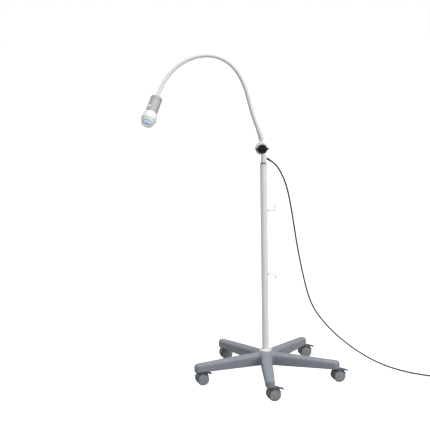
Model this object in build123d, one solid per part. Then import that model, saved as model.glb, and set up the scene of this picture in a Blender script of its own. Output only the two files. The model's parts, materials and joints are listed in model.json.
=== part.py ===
from build123d import *
import os
import math

# Mobile gooseneck examination light: five-arm base on braked twin-wheel castors, pole with two
# cord hooks, tilt joint with a wing knob, gooseneck arm and a small LED head.
# Millimetres, +Z up, origin on the floor on the pole's axis. The front arm points along -Y.

os.makedirs("parts", exist_ok=True)

# ---- driving dimensions ------------------------------------------------------------------
STEM_R = 300.0          # pole axis to castor stem
ARM_BOTTOM = 55.0       # underside of the base arms
ARM_TOP_IN, ARM_TOP_OUT = 107.0, 90.0
ARM_W_IN, ARM_W_OUT = 46.0, 38.0
HUB_R, HUB_TOP = 34.0, 112.0
WHEEL_R = 25.0
TRAIL = 15.0            # stem axis to axle
CASTOR_TURN = 10.7      # castor heading about Z
POLE_R, POLE_WALL = 14.3, 1.6
POLE_Z0, POLE_Z1 = 62.0, 907.0
HOOK_Z_UP, HOOK_Z_LOW = 721.0, 449.0
HOOK_AZ = -22.0         # hooks' heading about Z, from +X
HOOK_REACH, HOOK_TIP, HOOK_WIRE_R = 50.5, 22.0, 2.5
PIVOT = (-8.0, 0.0, 978.0)
JOINT_AZ = 7.0          # the tilt axis points along -Y turned by this about Z
NECK_R = 8.0
HEAD_TILT = (-0.3123, -0.5826, -0.7504)   # direction the light shines
HEAD_BACK = (-426.4, -120.2, 1205.9)      # centre of the head's back face
CORD_R = 3.25

ARMS = [("front", 0.0), ("right", 72.0), ("rear_right", 144.0), ("rear_left", 216.0), ("left", 288.0)]

# Gooseneck axis, from the collar of the tilt joint to the head, every 30.59 mm of its length
NECK = [(-8.0, 0.0, 1000.0), (-11.36, -0.72, 1030.25), (-21.08, -2.58, 1059.18), (-31.87, -4.27, 1087.75),
        (-41.46, -5.36, 1116.77), (-49.36, -5.97, 1146.31), (-56.49, -6.54, 1176.05), (-64.13, -7.41, 1205.65),
        (-73.33, -8.72, 1234.79), (-84.93, -10.46, 1263.02), (-99.66, -12.59, 1289.72), (-118.11, -15.04, 1313.95),
        (-140.56, -17.7, 1334.47), (-166.73, -20.54, 1349.95), (-195.58, -23.57, 1359.46), (-225.74, -26.94, 1362.85),
        (-255.95, -30.84, 1360.57), (-285.25, -35.53, 1353.27), (-312.91, -41.29, 1341.63), (-338.35, -48.4, 1326.26),
        (-361.05, -57.15, 1307.77), (-380.6, -67.77, 1286.82), (-396.83, -80.39, 1264.2), (-410.01, -94.94, 1240.76),
        (-421.02, -111.18, 1217.3)]
NECK_JOINTS = (4, 8, 12, 16, 20)   # places along NECK where two sections meet
NECK_GAP = 9.0                     # centre of a section's round end to the joint

# Mains cord route, from the strain relief to the coil, and the coil
CORD = [(30.0, 4.4, 925.1), (52.7, 7.8, 909.1), (76, 20, 868), (96, 33, 820), (111, 43.5, 752), (123.5, 52.5, 678),
        (136, 62.5, 592), (151, 75, 505), (169.5, 92, 416), (189, 109, 332), (218, 132, 254), (263, 159, 186),
        (321, 177, 119), (382, 178, 66), (440, 153, 30), (489, 116, 10.5), (528, 76, 3.3), (565, 27, 3.3),
        (611, -18, 3.3), (664, -53, 3.3), (714, -79, 3.3), (757.5, -101.8, 3.3)]
COIL_C, COIL_IN, COIL_OUT, COIL_H = (738.0, -140.0), 26.2, 46.2, 13.2
PLUG_L, PLUG_W, PLUG_H = 36.0, 34.0, 13.6


def V(p):
    return Vector(*p)


def save(node, shape):
    solids = shape.solids()
    out = solids[0] if len(solids) == 1 else Compound(children=list(solids))
    export_step(out, "parts/%s.step" % node)
    print("%-28s %d solid(s)  %.0f mm3" % (node, len(solids), sum(s.volume for s in solids)))


def tube(r_out, r_in, z0, z1):
    return Pos(0, 0, (z0 + z1) / 2) * (Cylinder(r_out, z1 - z0) - Cylinder(r_in, z1 - z0 + 2))


def rod(r, z0, z1):
    return Pos(0, 0, (z0 + z1) / 2) * Cylinder(r, z1 - z0)


def block(x0, x1, y0, y1, z0, z1):
    return Pos((x0 + x1) / 2, (y0 + y1) / 2, (z0 + z1) / 2) * Box(x1 - x0, y1 - y0, z1 - z0)


def turned(points):
    # solid of revolution about Z from (radius, z) points
    face = make_face(Polyline(*[(r, 0, z) for r, z in points], close=True))
    return revolve(face, Axis.Z, 360)


def arm_section(r, width, z0, z1, rt, rb):
    # section across an arm that runs along +X, at distance r
    w = width / 2
    c = math.cos(math.radians(45))
    pts = []
    edges = []
    def corner(cx, cz, rad, a0):
        p = [Vector(r, cx + rad * math.cos(math.radians(a)), cz + rad * math.sin(math.radians(a))) for a in (a0, a0 + 45, a0 + 90)]
        return p
    cs = [corner(w - rt, z1 - rt, rt, 0), corner(-w + rt, z1 - rt, rt, 90),
          corner(-w + rb, z0 + rb, rb, 180), corner(w - rb, z0 + rb, rb, 270)]
    for i in range(4):
        edges.append(ThreePointArc(*cs[i]))
        edges.append(Line(cs[i][2], cs[(i + 1) % 4][0]))
    return make_face(Wire(edges))


# ---- star base ---------------------------------------------------------------------------
def base_arm():
    a = arm_section(20, ARM_W_IN + 1, ARM_BOTTOM, ARM_TOP_IN, 13, 3)
    b = arm_section(STEM_R, ARM_W_OUT, ARM_BOTTOM, ARM_TOP_OUT, 13, 3)
    body = loft([a, b])
    tip = Pos(STEM_R, 0, (ARM_BOTTOM + ARM_TOP_OUT) / 2) * Cylinder(ARM_W_OUT / 2, ARM_TOP_OUT - ARM_BOTTOM)
    tip = fillet(tip.edges().filter_by(GeomType.CIRCLE).sort_by(Axis.Z)[-1], 13)
    tip = fillet(tip.edges().filter_by(GeomType.CIRCLE).sort_by(Axis.Z)[0], 2.9)
    pa = arm_section(46, ARM_W_IN - 9, ARM_BOTTOM - 12, ARM_TOP_IN - 6, 9, 1)
    pb = arm_section(STEM_R - 26, ARM_W_OUT - 8, ARM_BOTTOM - 12, ARM_TOP_OUT - 4.5, 9, 1)
    pocket = loft([pa, pb])
    ribs = [block(x - 1.2, x + 1.2, -20, 20, ARM_BOTTOM - 12, 110) for x in (84, 122, 160, 198, 236)]
    ribs.append(block(40, 280, -1.2, 1.2, ARM_BOTTOM - 12, 110))
    pocket = pocket - ribs
    bore = Pos(STEM_R, 0, 0) * rod(7.0, ARM_BOTTOM - 5, 84)
    return (body + tip) - pocket - bore


arm = base_arm()
hub = Pos(0, 0, (52 + HUB_TOP) / 2) * Cylinder(HUB_R, HUB_TOP - 52)
hub = fillet(hub.edges().filter_by(GeomType.CIRCLE).sort_by(Axis.Z)[-1], 5)
star = hub
for name, ang in ARMS:
    star = star + Rot(0, 0, ang - 90) * arm
star = star - rod(POLE_R, POLE_Z0, 130) - rod(4.2, 40, 70) - rod(12, 40, 57)
save("star_base", star)

sockets, stems = [], []
for name, ang in ARMS:
    at = Rot(0, 0, ang - 90) * Pos(STEM_R, 0, 0)
    sockets.append(at * (tube(7.0, 5.55, ARM_BOTTOM, 82) + rod(7.0, 82, 84)))
    stem = rod(5.5, ARM_BOTTOM, 81.5) + rod(7.6, 54.1, ARM_BOTTOM) + rod(3.7, 31, 54.5)
    stem = stem - tube(8, 5.0, 74, 76)
    stems.append(at * stem)
save("caster_sockets", Compound(children=sockets))
save("caster_stems", Compound(children=stems))


# ---- castors (stem axis on Z, wheel trails along +X, axle along Y) ------------------------
def sector(r, a0, a1, y):
    # wedge of a disc about the axle, from angle a0 to a1 above +X, y either side
    pts = [(0, 0)] + [(r * math.cos(math.radians(a)), r * math.sin(math.radians(a)))
                      for a in [a0 + (a1 - a0) * i / 12 for i in range(13)]]
    face = make_face(Polyline(*[(TRAIL + x, 0, WHEEL_R + z) for x, z in pts], close=True))
    return extrude(face, amount=y, dir=(0, 1, 0), both=True)


def across(r, y0, y1, x=TRAIL, z=WHEEL_R):
    return Pos(x, (y0 + y1) / 2, z) * Rot(90, 0, 0) * Cylinder(r, y1 - y0)


def castor_housing():
    ring = across(28.7, -22, 22) - across(26.4, -23, 23)
    hood = ring & sector(60, 22, 200, 30)
    web_face = make_face(Polyline(*[(TRAIL + x, 0, WHEEL_R + z) for x, z in
                                    ((-22, 3), (-22, 30), (9, 30), (10, 0), (5, -9), (-5, -9))], close=True))
    web = extrude(web_face, amount=5.75, dir=(0, 1, 0), both=True) & across(28.7, -6, 6)
    body = hood + web + rod(9.0, 49.7, 53.6)
    slot = block(TRAIL + 11.3, TRAIL + 45, -11.6, 11.6, WHEEL_R + 10.5, WHEEL_R + 40)
    pin = across(1.5, -12.5, 12.5, TRAIL + 17, WHEEL_R + 23.6)
    ears = [block(TRAIL + 13.5, TRAIL + 20.5, s * 13.6 - 2, s * 13.6 + 2, WHEEL_R + 19, WHEEL_R + 26.8) for s in (-1, 1)]
    body = body - slot + ears
    body = body - across(26.4, -23, -5.9) - across(26.4, 5.9, 23)
    body = body + pin
    body = body - rod(3.75, 29.5, 60) - across(3.0, -10, 10)
    return body


def castor_wheel(side):
    prof = [(3.05, 6.3), (9, 6.3), (9.5, 7), (10.5, 15), (19.5, 15.5), (21, 6.8), (22, 6.3), (24.2, 6.9), (25, 8.6),
            (25, 17.6), (24.2, 19.3), (22.6, 19.9), (21.8, 19.4), (21.2, 19.9), (16, 21.0), (8, 21.4), (0, 21.5), (0, 18.4),
            (3.05, 18.4)]
    w = turned(prof)
    w = Rot(-90, 0, 0) * w if side > 0 else Rot(90, 0, 0) * w
    return Pos(TRAIL, 0, WHEEL_R) * w


def castor_pedal():
    px, pz = TRAIL + 17, WHEEL_R + 23.6
    barrel = across(3.1, -11, 11, px, pz)
    pts = [(px - 0.5, pz + 3.0), (px + 6, pz + 2.4), (px + 16, pz - 1.2), (px + 21.5, pz - 2.6), (px + 22, pz - 5.2),
           (px + 20.5, pz - 6.2), (px + 15, pz - 4.9), (px + 6, pz - 1.6), (px - 0.5, pz - 3.0)]
    plate = extrude(make_face(Polyline(*[(x, 0, z) for x, z in pts], close=True)), amount=8.5, dir=(0, 1, 0), both=True)
    tip = Pos(px + 18.4, 0, pz - 3.7) * Rot(0, 14, 0) * Box(6.6, 22, 3.6)
    tip = fillet(tip.edges().filter_by(Axis.Y), 1.4)
    ribs = [Pos(px + 18.0 + k * 2.0, 0, pz - 1.9 - k * 0.5) * Rot(0, 14, 0) * Box(0.8, 18, 0.9) for k in (-0.8, 0, 0.8)]
    return barrel + plate + tip + ribs - across(1.55, -13, 13, px, pz)


housing, pedal = castor_housing(), castor_pedal()
axle = across(3.0, -18.2, 18.2)
wheels = {"left": castor_wheel(-1), "right": castor_wheel(1)}
for name, ang in ARMS:
    a = math.radians(ang)
    at = Pos(STEM_R * math.sin(a), -STEM_R * math.cos(a), 0) * Rot(0, 0, CASTOR_TURN)
    save("caster_%s_housing" % name, at * housing)
    save("caster_%s_axle" % name, at * axle)
    save("caster_%s_wheel_left" % name, at * wheels["left"])
    save("caster_%s_wheel_right" % name, at * wheels["right"])
    save("caster_%s_pedal" % name, at * pedal)

# ---- pole --------------------------------------------------------------------------------
flange = turned([(POLE_R + 0.05, HUB_TOP), (25.5, HUB_TOP), (25.5, HUB_TOP + 3.2), (24.6, HUB_TOP + 4.2), (17.5, HUB_TOP + 9.5),
                 (16.2, HUB_TOP + 10), (POLE_R + 0.05, HUB_TOP + 10)])
save("pole_flange", flange)
pole = tube(POLE_R, POLE_R - POLE_WALL, POLE_Z0, POLE_Z1) + rod(POLE_R - POLE_WALL, POLE_Z0, POLE_Z0 + 8)
pole = pole - rod(3.4, POLE_Z0 - 2, POLE_Z0 + 10)
at_up = Pos(0, 0, HOOK_Z_UP) * Rot(0, 0, HOOK_AZ)
at_low = Pos(0, 0, HOOK_Z_LOW) * Rot(0, 0, HOOK_AZ)
pole = pole - at_up * Rot(0, 90, 0) * rod(3.0, 8, 20) - at_low * Rot(0, 90, 0) * rod(3.0, 8, 20)
save("pole", pole)
bolt = rod(3.35, 51, POLE_Z0 + 8) + Pos(0, 0, 51) * extrude(RegularPolygon(6.5, 6), 4.4)
washer = tube(9.0, 4.3, 55.4, 57.0)
save("base_bolt_and_washer", Compound(children=[bolt, washer]))
r_in = POLE_R - POLE_WALL
bush = turned([(10.05, 862), (r_in - 0.02, 862), (r_in - 0.02, POLE_Z1), (POLE_R, POLE_Z1), (POLE_R, 911.6), (POLE_R - 1.2, 913), (10.05, 913)])
save("pole_top_bush", bush)
save("lock_ring", turned([(10.05, 913), (11.6, 913), (11.9, 913.8), (11.9, 920.2), (11.6, 921), (10.05, 921)]))


def hook(sign):
    r = HOOK_WIRE_R
    e = 6.0
    path = Wire([Line((12.9, 0, 0), (HOOK_REACH - r - e, 0, 0)),
                 ThreePointArc((HOOK_REACH - r - e, 0, 0),
                               (HOOK_REACH - r - e + e * math.sin(math.radians(45)), 0, sign * e * (1 - math.cos(math.radians(45)))),
                               (HOOK_REACH - r, 0, sign * e)),
                 Line((HOOK_REACH - r, 0, sign * e), (HOOK_REACH - r, 0, sign * (HOOK_TIP - 1.5)))])
    wire = sweep(Plane(origin=(12.9, 0, 0), z_dir=(1, 0, 0)) * Circle(r), path=path)
    tip = Pos(HOOK_REACH - r, 0, sign * (HOOK_TIP - 1.5)) * Sphere(r)
    boss = Rot(0, 90, 0) * (rod(4.6, 13.2, 19.5)) - rod(POLE_R + 0.02, -10, 10)
    root = Rot(0, 90, 0) * rod(2.98, 12.8, 14.6)
    return wire + tip + boss + root


save("hook_upper", at_up * hook(1))
save("hook_lower", at_low * hook(-1))

# ---- tilt joint: local Z is the tilt axis, local Y is up ---------------------------------
ja = math.radians(JOINT_AZ)
J = Plane(origin=PIVOT, x_dir=(math.cos(ja), math.sin(ja), 0), z_dir=(math.sin(ja), -math.cos(ja), 0)).location
GLAND = Vector(0.81, 0.12, -0.574).normalized()
GLAND_AT = Vector(0, 0, 946.3)

fixed = J * (rod(24.0, -14, -0.5))
fixed = fillet(fixed.edges().filter_by(GeomType.CIRCLE), 1.0)
neck_low = rod(10.0, 921, 950.4)
half = J * block(-40, 40, -60, 40, -30, -0.5)
neck_up = rod(10.0, 945, 985) & half
boss = Plane(origin=GLAND_AT, z_dir=GLAND).location * rod(6.6, 0, 17.0)
spigot = rod(10.0, 863, 921) + neck_low + neck_up + fixed + boss
spigot = spigot - J * rod(4.02, -40, 10)
save("joint_spigot", spigot)
save("clamp_bolt", J * (rod(4.0, -14, 28.5) + Pos(0, 0, -19) * extrude(RegularPolygon(7.5, 6), 5)))
save("friction_washer", J * tube(20.0, 4.6, -0.4, 0.8))

disc = J * rod(26.0, 0.9, 12.9)
disc = fillet(disc.edges().filter_by(GeomType.CIRCLE), 1.2)
link = J * block(-8.2, 8.2, 14, 31, 0.9, 8.4)
collar = Pos(PIVOT[0], PIVOT[1], 0) * (rod(9.3, 1003.6, 1006.0) + rod(8.6, 1005.5, 1008.0) + rod(9.3, 1007.5, 1016.0))
knuckle = disc + link + collar - J * rod(4.05, -5, 20)
save("arm_knuckle", knuckle)

body = rod(19.0, 17.5, 30.0)
body = fillet(body.edges().filter_by(GeomType.CIRCLE), 2.2)
knob = body + rod(12.0, 13.4, 18) + Pos(0, 0, 29) * (Cylinder(12.5, 6) )
knob = knob + Pos(0, 0, 17.5) * extrude(SlotOverall(54.0, 6.4), 11.5)
knob = knob + Pos(0, 0, 24) * extrude(SlotOverall(30.0, 6.4, rotation=0), 11.0)
knob = knob - rod(4.05, 10, 29.2)
for k in range(24):
    if k % 12 not in (0, 1, 11):
        knob = knob - Rot(0, 0, k * 15) * Pos(19.9, 0, 24) * Cylinder(1.5, 9)
save("clamp_knob", J * knob)

# ---- gooseneck ---------------------------------------------------------------------------
H = V(HEAD_TILT).normalized()
HB = V(HEAD_BACK)
axis_pts = [V(p) for p in NECK]


def tangent(i):
    a, b = axis_pts[max(0, i - 1)], axis_pts[min(len(axis_pts) - 1, i + 1)]
    return (b - a).normalized()


def run(points, start_cap, end_cap):
    # round bar along points (odd number): one circular arc per three points, tangent at the joins to a fraction of a degree
    out = None
    for i in range(0, len(points) - 2, 2):
        arc = ThreePointArc(points[i], points[i + 1], points[i + 2])
        part = sweep(Plane(origin=points[i], z_dir=arc % 0) * Circle(NECK_R), path=arc)
        out = part if out is None else out + part
        if i > 0:
            out = out + Pos(*points[i]) * Sphere(NECK_R)
    if start_cap:
        out = out + Pos(*points[0]) * Sphere(NECK_R)
    if end_cap:
        out = out + Pos(*points[-1]) * Sphere(NECK_R)
    return out


def section(i0, i1):
    # section between two joints: its round ends are centred NECK_GAP from them
    pts = axis_pts[i0:i1 + 1]
    p0 = pts[0] + (pts[1] - pts[0]).normalized() * NECK_GAP
    p1 = pts[-1] + (pts[-2] - pts[-1]).normalized() * NECK_GAP
    return [p0, pts[len(pts) // 2], p1]


# the first section stands in the collar and leans over inside the boot
n1 = [Vector(PIVOT[0], 0, 1016.0), Vector(PIVOT[0], 0, 1025.5), Vector(-21.6, -2.6, 1060.5), axis_pts[4] + (axis_pts[3] - axis_pts[4]).normalized() * NECK_GAP]
n1r = [0.45 * min((q - p).length, (w - q).length) / math.tan(math.radians((q - p).get_angle(w - q)) / 2) for p, q, w in zip(n1, n1[1:], n1[2:])]
n1path = FilletPolyline(*n1, radius=n1r)
neck1 = sweep(Plane(origin=n1[0], z_dir=(0, 0, 1)) * Circle(NECK_R), path=n1path)
neck1 = neck1 + Pos(*n1[-1]) * Sphere(NECK_R)
save("neck_1", neck1)
for k in range(4):
    save("neck_%d" % (k + 2), run(section(NECK_JOINTS[k], NECK_JOINTS[k + 1]), True, True))
last = [axis_pts[20] + (axis_pts[21] - axis_pts[20]).normalized() * NECK_GAP, axis_pts[22], HB - H * 14.0]
tail = Plane(origin=HB - H * 14.0, z_dir=H).location * rod(NECK_R, 0, 9.0)
save("neck_6", run(last, True, True) + tail)

sec = [(PIVOT[0], 0, 1016.05, 11.6), (-8.3, 0, 1021, 11.2), (-11.2, -0.6, 1032.5, 9.9), (-15.9, -1.5, 1044.5, 9.1), (-21.3, -2.5, 1060.0, 8.5)]
dirs = [Vector(0, 0, 1), Vector(-0.12, -0.02, 1), Vector(-0.33, -0.06, 1), Vector(-0.36, -0.065, 1), Vector(-0.36, -0.065, 1)]
faces = [Plane(origin=s[:3], z_dir=d.normalized()) * Circle(s[3]) for s, d in zip(sec, dirs)]
boot = loft(faces) - neck1
save("arm_boot", boot)

# ---- head: local Z shines out of the front ------------------------------------------------
right = Vector(1, -0.058, 0)
hx = (right - H * right.dot(H)).normalized()
HL = Plane(origin=HB, x_dir=hx, z_dir=H).location

ferrule = tube(9.9, 6.0, -5, 9) + tube(13.0, 9.0, 3.1, 6.0)
save("head_ferrule", HL * ferrule)
shell = turned([(9.95, 0), (19.5, 0), (21.5, 0.7), (23.6, 3.0), (24.0, 5.0), (24.3, 70), (22.3, 70), (22.0, 5.5), (19.5, 3.0), (9.95, 3.0)])
BTN_A, BTN_Z = -27.0, 55.5      # button's place: angle from local +Y towards -X, distance along the head
BL = Rot(0, 0, -BTN_A) * Pos(0, 0, BTN_Z) * Rot(-90, 0, 0)      # local Z out through the wall
BL = HL * BL
grooves = [tube(30, 23.65, z, z + 1.2) for z in (10, 14, 18)]
shell = shell - grooves
btn_hole = extrude(Plane.XY.offset(18) * RectangleRounded(14.4, 11.4, 3.2), 10)
shell_w = HL * shell - BL * btn_hole
save("head_housing", shell_w)
btn = extrude(Plane.XY.offset(21.0) * RectangleRounded(14.0, 11.0, 3.0), 4.9) + extrude(Plane.XY.offset(18.6) * RectangleRounded(16.4, 12.8, 3.0), 1.6) + extrude(Plane.XY.offset(20.0) * RectangleRounded(14.0, 11.0, 3.0), 1.2)
btn = fillet(btn.edges().sort_by(Axis.Z)[-8:], 0.9)
save("power_button", BL * btn)

board = block(-15, 15, -8.0, -6.4, 14, 52) + block(-9, 3, -6.4, 2, 18, 30) + Pos(8, -3.2, 24) * Rot(90, 0, 0) * Cylinder(4, 6.4) \
    + block(-12, -4, -6.4, -3.5, 36, 44) + block(2, 12, -6.4, -2, 36, 48) + block(-14, 14, -12, -8.0, 20, 24)
save("driver_board", HL * board)
sink = rod(20.4, 80, 86) + rod(8, 64, 81)
for k in range(16):
    sink = sink + Rot(0, 0, k * 22.5) * block(7, 19.6, -0.8, 0.8, 64, 81)
save("heat_sink", HL * sink)
save("led_board", HL * (rod(17.0, 86, 87.6) + rod(4.4, 87.6, 88.6) + Pos(0, 0, 88.2) * (Sphere(3.6) & block(-5, 5, -5, 5, 0, 5)) + block(10, 14, -3, 3, 87.6, 89.6)))
# mirror cup with a skirt that flares back from its rim towards the bezel
save("reflector", HL * turned([(4.8, 88.7), (8.0, 95), (11.6, 102), (14.6, 108.5), (17.0, 115), (19.2, 115), (21.0, 111.0), (23.9, 104.2), (24.9, 104.2),
                               (22.2, 111.0), (20.0, 116.4), (16.4, 116.4), (16.0, 115.6), (13.6, 109), (10.6, 102.4), (7.0, 95.4), (4.1, 90.0),
                               (4.1, 88.7)][::-1]))
bezel = turned([(20.7, 63), (22.25, 63), (22.25, 70), (25.2, 70), (28.4, 73.5), (30.4, 79), (31.0, 86), (30.8, 96), (29.9, 106), (27.4, 106),
                (27.4, 103), (28.3, 96), (28.5, 86), (27.8, 79.5), (26.0, 75.4), (23.4, 73.2), (20.7, 72.6)])
save("front_bezel", HL * bezel)
lens = turned([(27.3, 103.2), (27.3, 106.1), (28.9, 106.1), (28.6, 112), (27.0, 119), (24.6, 126.5), (22.4, 130.6), (19.6, 132.6), (10, 133.4), (0, 133.6),
               (0, 130.6), (9.8, 130.4), (18.6, 129.6), (20.3, 128.3), (22.0, 125.0), (24.2, 118), (25.2, 112), (25.2, 103.2)])
save("front_lens", HL * lens)

# ---- mains cord --------------------------------------------------------------------------
relief = Plane(origin=GLAND_AT + GLAND * 17.0, z_dir=GLAND).location * Pos(0, 0, 11) * Cone(5.4, 3.9, 22)
save("strain_relief", relief)
pts = [V(p) for p in CORD]
pts[0] = GLAND_AT + GLAND * 39.0
pts[1] = GLAND_AT + GLAND * 65.0
radii = []
for a, b, c in zip(pts, pts[1:], pts[2:]):
    turn = math.radians((b - a).get_angle(c - b))
    radii.append(0.45 * min((b - a).length, (c - b).length) / math.tan(turn / 2))
print("runs", [round((b - a).length) for a, b in zip(pts, pts[1:])])
print("radii", [round(r) for r in radii])
path = FilletPolyline(*pts, radius=radii)
cord = sweep(Plane(origin=pts[0], z_dir=(pts[1] - pts[0]).normalized()) * Circle(CORD_R), path=path)
print("cord length %.1f  volume/section*length %.4f" % (path.length, cord.volume / (math.pi * CORD_R ** 2 * path.length)))
save("mains_cord", cord)
cx, cy = COIL_C
save("cord_coil", Pos(cx, cy, 0) * tube(COIL_OUT, COIL_IN, 0.0, COIL_H))
px = cx + 32.0
y_back, y_front = cy - 2.0, cy - 2.0 - PLUG_L
z0 = COIL_H
plug = Pos(px, (y_back + y_front) / 2, z0 + PLUG_H / 2) * Box(PLUG_W, PLUG_L, PLUG_H)
plug = fillet(plug.edges().filter_by(Axis.Y), 5.5)
neckp = Pos(px, y_back + 7.5, z0 + PLUG_H / 2) * Rot(-90, 0, 0) * Cone(6.0, 4.2, 15)
pins = [Pos(px + s * 9.3, y_front - 9.5, z0 + PLUG_H / 2) * Rot(90, 0, 0) * Cylinder(2.0, 19) for s in (-1, 1)]
save("mains_plug", Compound(children=[plug + neckp, pins[0], pins[1]]))
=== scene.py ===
import bpy
import bmesh
import json
import math
import numpy as np
from mathutils import Matrix, Vector


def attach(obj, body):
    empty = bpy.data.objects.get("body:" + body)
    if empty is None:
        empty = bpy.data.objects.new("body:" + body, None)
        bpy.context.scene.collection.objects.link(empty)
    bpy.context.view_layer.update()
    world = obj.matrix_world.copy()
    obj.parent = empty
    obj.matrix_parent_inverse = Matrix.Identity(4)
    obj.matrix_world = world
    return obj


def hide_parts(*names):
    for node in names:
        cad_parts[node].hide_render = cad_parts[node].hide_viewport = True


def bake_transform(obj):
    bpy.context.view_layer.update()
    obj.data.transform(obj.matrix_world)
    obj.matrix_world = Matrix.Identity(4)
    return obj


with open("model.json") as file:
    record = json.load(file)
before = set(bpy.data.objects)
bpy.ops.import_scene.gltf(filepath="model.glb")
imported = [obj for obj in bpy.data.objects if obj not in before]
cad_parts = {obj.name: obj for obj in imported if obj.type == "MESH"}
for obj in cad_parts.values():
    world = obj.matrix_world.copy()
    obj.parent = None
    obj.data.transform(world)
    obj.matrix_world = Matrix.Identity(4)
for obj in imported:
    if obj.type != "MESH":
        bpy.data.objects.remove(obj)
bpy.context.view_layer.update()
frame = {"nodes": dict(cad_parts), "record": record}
NODES = frame["nodes"]
MM = 0.001
ARMS = [("front", 0.0), ("right", 72.0), ("rear_right", 144.0), ("rear_left", 216.0), ("left", 288.0)]
CASTOR_TURN = 10.7


# ==== camera ===================================================================================
def make_camera():
    yaw, pitch, roll = math.radians(0.805), math.radians(11.252), math.radians(-1.151)
    fw = Vector((math.sin(yaw) * math.cos(pitch), math.cos(yaw) * math.cos(pitch), -math.sin(pitch)))
    right = Vector((math.cos(yaw), -math.sin(yaw), 0))
    up = right.cross(fw)
    r2 = math.cos(roll) * right + math.sin(roll) * up
    u2 = -math.sin(roll) * right + math.cos(roll) * up
    cam = bpy.data.cameras.new("camera")
    cam.sensor_width, cam.lens = 36.0, 95.79
    cam.clip_start, cam.clip_end = 0.1, 120.0
    o = bpy.data.objects.new("camera", cam)
    bpy.context.scene.collection.objects.link(o)
    m = Matrix((r2, u2, -fw)).transposed().to_4x4()
    m.translation = Vector((-0.269, -4.657, 1.630))
    o.matrix_world = m
    bpy.context.scene.camera = o


make_camera()

# ==== mains cord ===============================================================================
GLAND = Vector((0.81, 0.12, -0.574)).normalized()
GLAND_AT = Vector((0, 0, 946.3))
CORD_D = 6.5
CORD = [GLAND_AT + GLAND * 39.0, GLAND_AT + GLAND * 65.0] + [Vector(p) for p in (
    (76, 20, 868), (96, 33, 820), (111, 43.5, 752), (123.5, 52.5, 678), (136, 62.5, 592), (151, 75, 505),
    (169.5, 92, 416), (189, 109, 332), (218, 132, 254), (263, 159, 186), (321, 177, 119), (382, 178, 66),
    (440, 153, 30), (489, 116, 10.5), (528, 76, 3.3), (565, 27, 3.3), (611, -18, 3.3), (664, -53, 3.3),
    (714, -79, 3.3), (739, -92.5, 3.3))]
COIL_C = Vector((738.0, -140.0, 0.0))


def coil_points():
    # (angle in degrees, radius, height) of the turns, clockwise seen from above: three turns on the floor, inwards, and
    # three on top of them, outwards
    rings = [(43.0, 3.3), (36.5, 3.35), (30.2, 3.35), (30.0, 9.75), (36.4, 9.8), (42.7, 9.85)]
    out = []
    a = 55.0
    n = 18
    for k, (r, z) in enumerate(rings):
        last = k == len(rings) - 1
        turns = n if not last else n - 2
        for i in range(turns):
            t = i / n
            nr, nz = rings[min(k + 1, 5)]
            s = min(1.0, max(0.0, (t - 0.72) / 0.28))
            s = s * s * (3 - 2 * s)
            if last:
                s = 0.0
            wob = 0.28 * math.sin(3.1 * k + 2.0 * math.radians(a))
            out.append(Vector((COIL_C.x + (r + (nr - r) * s + wob) * math.cos(math.radians(a)),
                               COIL_C.y + (r + (nr - r) * s + wob) * math.sin(math.radians(a)), z + (nz - z) * s)))
            a -= 360.0 / n
    return out


PLUG_Z = 20.0
PLUG_X = 770.0
cord_pts = CORD + coil_points() + [Vector(p) for p in (
    (732.5, -97.4, 10.6), (744.0, -97.2, 12.9), (753.9, -99.2, 15.6), (762.4, -104.9, 18.0), (768.0, -113.3, 19.5),
    (770.0, -122.5, 20.0), (770.0, -129.0, 20.0), (770.0, -135.0, 20.0))]


def nurbs_curve(name, pts, dia, res=6, bevel_res=5):
    cu = bpy.data.curves.new(name, "CURVE")
    cu.dimensions = "3D"
    sp = cu.splines.new("NURBS")
    sp.points.add(len(pts) - 1)
    for q, p in zip(sp.points, pts):
        q.co = (p[0] * MM, p[1] * MM, p[2] * MM, 1.0)
    sp.order_u = 3
    sp.use_endpoint_u = True
    sp.resolution_u = res
    cu.resolution_u = res
    cu.bevel_depth = dia / 2 * MM
    cu.bevel_resolution = bevel_res
    cu.use_fill_caps = True
    o = bpy.data.objects.new(name, cu)
    bpy.context.scene.collection.objects.link(o)
    return o


cord = nurbs_curve("power_cord", cord_pts, CORD_D)


# ==== materials ================================================================================
def lin(c):
    return tuple(((x / 255.0) / 12.92 if x / 255.0 <= 0.04045 else ((x / 255.0 + 0.055) / 1.055) ** 2.4) for x in c)


def mul(c, k):
    return tuple(min(1.0, x * k) for x in c)


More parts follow.
